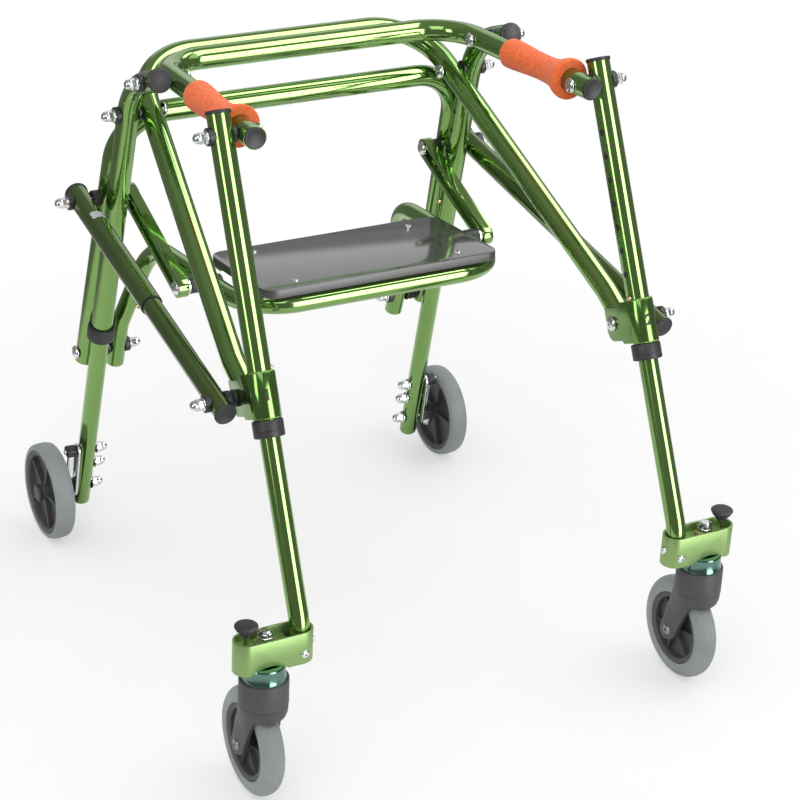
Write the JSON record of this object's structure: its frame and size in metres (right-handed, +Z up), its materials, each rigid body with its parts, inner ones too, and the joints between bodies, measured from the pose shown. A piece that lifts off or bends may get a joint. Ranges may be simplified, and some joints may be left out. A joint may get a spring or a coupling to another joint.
{
  "type": "gait trainer",
  "caption": "Folding posterior walking frame of bent green tube, open at the front, with flip-up seat, telescopic legs, swivel casters in front and ratchet wheels behind.",
  "frame": {"origin": "on the floor under the middle of the walker", "axes": "+Z up, +Y towards the rear hoop behind the user, +X towards the side marked 2"},
  "size_m": [0.618, 0.7059, 0.6942],
  "materials": {
    "green_anodised": "glossy green anodised tube",
    "green_satin_plate": "satin green",
    "black_plastic": "moulded, satin",
    "zinc_steel": "bright plated",
    "brass": "polished",
    "orange_foam": "orange closed-cell foam, speckled",
    "grey_tyre": "grey polyurethane with fine ribs",
    "dark_hub": "dark grey moulded",
    "grey_board": "glossy grey"
  },
  "bodies": {
    "rear_frame": {"rear_hoop": "green_anodised", "upright_left": "green_anodised", "rear_collar_left": "black_plastic", "handle_pivot_left": "zinc_steel", "diagonal_pivot_left": "zinc_steel", "brace_pivot_left": "zinc_steel", "upright_right": "green_anodised", "rear_collar_right": "black_plastic", "handle_pivot_right": "zinc_steel", "diagonal_pivot_right": "zinc_steel", "brace_pivot_right": "zinc_steel"},
    "diagonal_brace": {"diagonal_brace": "green_anodised"},
    "handle": {"handle_bar": "green_anodised", "grip_left": "orange_foam", "grip_right": "orange_foam"},
    "seat": {"seat_frame": "green_anodised", "seat_board": "grey_board", "seat_pivot_left": "zinc_steel", "seat_pivot_right": "zinc_steel"},
    "rear_leg_left": {"rear_leg_left": "green_anodised", "wheel_bracket_left": "zinc_steel"},
    "rear_wheel_left": {"rear_tyre_left": "grey_tyre", "rear_hub_left": "dark_hub"},
    "rear_button_left": {"rear_snap_button_left": "brass"},
    "front_leg_left": {"front_leg_left": "green_anodised", "front_collar_left": "black_plastic", "leg_pivot_left": "zinc_steel", "knuckle_bolt_left": "zinc_steel"},
    "front_button_left": {"front_snap_button_left": "brass"},
    "front_lower_leg_left": {"front_inner_leg_left": "green_anodised", "caster_arm_left": "green_satin_plate"},
    "pull_knob_left": {"pull_knob_left": "black_plastic"},
    "caster_fork_left": {"caster_fork_left": "dark_hub"},
    "caster_wheel_left": {"caster_tyre_left": "grey_tyre", "caster_hub_left": "dark_hub"},
    "side_brace_outer_left": {"side_brace_outer_left": "green_anodised"},
    "side_brace_inner_left": {"side_brace_inner_left": "green_anodised"},
    "brace_button_left": {"brace_button_left": "brass"},
    "seat_link_left": {"seat_link_left": "green_anodised"},
    "rear_leg_right": {"rear_leg_right": "green_anodised", "wheel_bracket_right": "zinc_steel"},
    "rear_wheel_right": {"rear_tyre_right": "grey_tyre", "rear_hub_right": "dark_hub"},
    "rear_button_right": {"rear_snap_button_right": "brass"},
    "front_leg_right": {"front_leg_right": "green_anodised", "front_collar_right": "black_plastic", "leg_pivot_right": "zinc_steel", "knuckle_bolt_right": "zinc_steel"},
    "front_button_right": {"front_snap_button_right": "brass"},
    "front_lower_leg_right": {"front_inner_leg_right": "green_anodised", "caster_arm_right": "green_satin_plate"},
    "pull_knob_right": {"pull_knob_right": "black_plastic"},
    "caster_fork_right": {"caster_fork_right": "dark_hub"},
    "caster_wheel_right": {"caster_tyre_right": "grey_tyre", "caster_hub_right": "dark_hub"},
    "side_brace_outer_right": {"side_brace_outer_right": "green_anodised"},
    "side_brace_inner_right": {"side_brace_inner_right": "green_anodised"},
    "brace_button_right": {"brace_button_right": "brass"},
    "seat_link_right": {"seat_link_right": "green_anodised"}
  },
  "joints": [
    {"name": "fold_hinge", "type": "hinge", "parent": "rear_frame", "child": "diagonal_brace", "pos_m": [0, 0.1715, 0.59396], "axis": [1, 0, 0], "range_deg": [0, 24]},
    {"name": "handle_hinge", "type": "hinge", "parent": "rear_frame", "child": "handle", "pos_m": [0, 0.1073, 0.65322], "axis": [1, 0, 0], "range_deg": [0, 33.4]},
    {"name": "seat_hinge", "type": "hinge", "parent": "rear_frame", "child": "seat", "pos_m": [0, 0.27573, 0.255], "axis": [-1, 0, 0], "range_deg": [0, 17]},
    {"name": "rear_leg_slide_left", "type": "slide", "parent": "rear_frame", "child": "rear_leg_left", "axis": [0.0244, -0.2241, 0.9743], "range_m": [0, 0.0528]},
    {"name": "rear_wheel_spin_left", "type": "hinge", "parent": "rear_leg_left", "child": "rear_wheel_left", "pos_m": [-0.2777, 0.2942, 0.0605], "axis": [1, 0, 0], "continuous": true},
    {"name": "rear_button_press_left", "type": "slide", "parent": "rear_frame", "child": "rear_button_left", "axis": [1, 0, 0], "range_m": [-0.0025, 0], "stiffness_N_per_m": 300},
    {"name": "leg_hinge_left", "type": "hinge", "parent": "diagonal_brace", "child": "front_leg_left", "pos_m": [-0.23184, -0.17889, 0.40848], "axis": [1, 0, 0], "range_deg": [-6.6, 0]},
    {"name": "front_button_press_left", "type": "slide", "parent": "front_leg_left", "child": "front_button_left", "axis": [1, 0, 0], "range_m": [-0.0025, 0], "stiffness_N_per_m": 300},
    {"name": "front_leg_slide_left", "type": "slide", "parent": "front_leg_left", "child": "front_lower_leg_left", "axis": [0.0108, 0.4342, 0.9008], "range_m": [0, 0.1584]},
    {"name": "knob_pull_left", "type": "slide", "parent": "front_lower_leg_left", "child": "pull_knob_left", "axis": [0, 0, 1], "range_m": [0, 0.008], "stiffness_N_per_m": 500},
    {"name": "caster_swivel_left", "type": "hinge", "parent": "front_lower_leg_left", "child": "caster_fork_left", "pos_m": [-0.2735, -0.3145, 0.16], "axis": [0, 0, 1], "continuous": true},
    {"name": "caster_spin_left", "type": "hinge", "parent": "caster_fork_left", "child": "caster_wheel_left", "pos_m": [-0.2735, -0.2925, 0.0605], "axis": [1, 0, 0], "continuous": true},
    {"name": "brace_hinge_left", "type": "hinge", "parent": "rear_frame", "child": "side_brace_outer_left", "pos_m": [-0.25748, 0.22525, 0.4745], "axis": [1, 0, 0], "range_deg": [0, 23.3]},
    {"name": "brace_slide_left", "type": "slide", "parent": "side_brace_outer_left", "child": "side_brace_inner_left", "axis": [0.0277, 0.9865, 0.1612], "range_m": [0, 0.0545]},
    {"name": "brace_button_press_left", "type": "slide", "parent": "side_brace_outer_left", "child": "brace_button_left", "axis": [-0.7658, 0.1246, -0.631], "range_m": [-0.0025, 0], "stiffness_N_per_m": 300},
    {"name": "link_hinge_left", "type": "hinge", "parent": "seat", "child": "seat_link_left", "pos_m": [-0.16226, 0.077, 0.41719], "axis": [-1, 0, 0], "range_deg": [-0.9, 0]},
    {"name": "rear_leg_slide_right", "type": "slide", "parent": "rear_frame", "child": "rear_leg_right", "axis": [-0.0244, -0.2241, 0.9743], "range_m": [0, 0.0528]},
    {"name": "rear_wheel_spin_right", "type": "hinge", "parent": "rear_leg_right", "child": "rear_wheel_right", "pos_m": [0.2777, 0.2942, 0.0605], "axis": [1, 0, 0], "continuous": true},
    {"name": "rear_button_press_right", "type": "slide", "parent": "rear_frame", "child": "rear_button_right", "axis": [-1, 0, 0], "range_m": [-0.0025, 0], "stiffness_N_per_m": 300},
    {"name": "leg_hinge_right", "type": "hinge", "parent": "diagonal_brace", "child": "front_leg_right", "pos_m": [0.23184, -0.17889, 0.40848], "axis": [1, 0, 0], "range_deg": [-6.6, 0]},
    {"name": "front_button_press_right", "type": "slide", "parent": "front_leg_right", "child": "front_button_right", "axis": [-1, 0, 0], "range_m": [-0.0025, 0], "stiffness_N_per_m": 300},
    {"name": "front_leg_slide_right", "type": "slide", "parent": "front_leg_right", "child": "front_lower_leg_right", "axis": [-0.0108, 0.4342, 0.9008], "range_m": [0, 0.1584]},
    {"name": "knob_pull_right", "type": "slide", "parent": "front_lower_leg_right", "child": "pull_knob_right", "axis": [0, 0, 1], "range_m": [0, 0.008], "stiffness_N_per_m": 500},
    {"name": "caster_swivel_right", "type": "hinge", "parent": "front_lower_leg_right", "child": "caster_fork_right", "pos_m": [0.2735, -0.3145, 0.16], "axis": [0, 0, 1], "continuous": true},
    {"name": "caster_spin_right", "type": "hinge", "parent": "caster_fork_right", "child": "caster_wheel_right", "pos_m": [0.2735, -0.2925, 0.0605], "axis": [1, 0, 0], "continuous": true},
    {"name": "brace_hinge_right", "type": "hinge", "parent": "rear_frame", "child": "side_brace_outer_right", "pos_m": [0.25748, 0.22525, 0.4745], "axis": [1, 0, 0], "range_deg": [0, 23.3]},
    {"name": "brace_slide_right", "type": "slide", "parent": "side_brace_outer_right", "child": "side_brace_inner_right", "axis": [-0.0277, 0.9865, 0.1612], "range_m": [0, 0.0545]},
    {"name": "brace_button_press_right", "type": "slide", "parent": "side_brace_outer_right", "child": "brace_button_right", "axis": [0.7658, 0.1246, -0.631], "range_m": [-0.0025, 0], "stiffness_N_per_m": 300},
    {"name": "link_hinge_right", "type": "hinge", "parent": "seat", "child": "seat_link_right", "pos_m": [0.16226, 0.077, 0.41719], "axis": [-1, 0, 0], "range_deg": [-0.9, 0]}
  ],
  "couplings": [
    {"joint": "handle_hinge", "follows": "fold_hinge", "ratio": 1.3902},
    {"joint": "leg_hinge_left", "follows": "fold_hinge", "ratio": -0.2726},
    {"joint": "brace_hinge_left", "follows": "fold_hinge", "ratio": 0.965},
    {"joint": "brace_slide_left", "follows": "fold_hinge", "m_per_rad": 0.12959},
    {"joint": "link_hinge_left", "follows": "seat_hinge", "ratio": -0.05},
    {"joint": "leg_hinge_right", "follows": "fold_hinge", "ratio": -0.2726},
    {"joint": "brace_hinge_right", "follows": "fold_hinge", "ratio": 0.965},
    {"joint": "brace_slide_right", "follows": "fold_hinge", "m_per_rad": 0.12959},
    {"joint": "link_hinge_right", "follows": "seat_hinge", "ratio": -0.05}
  ]
}
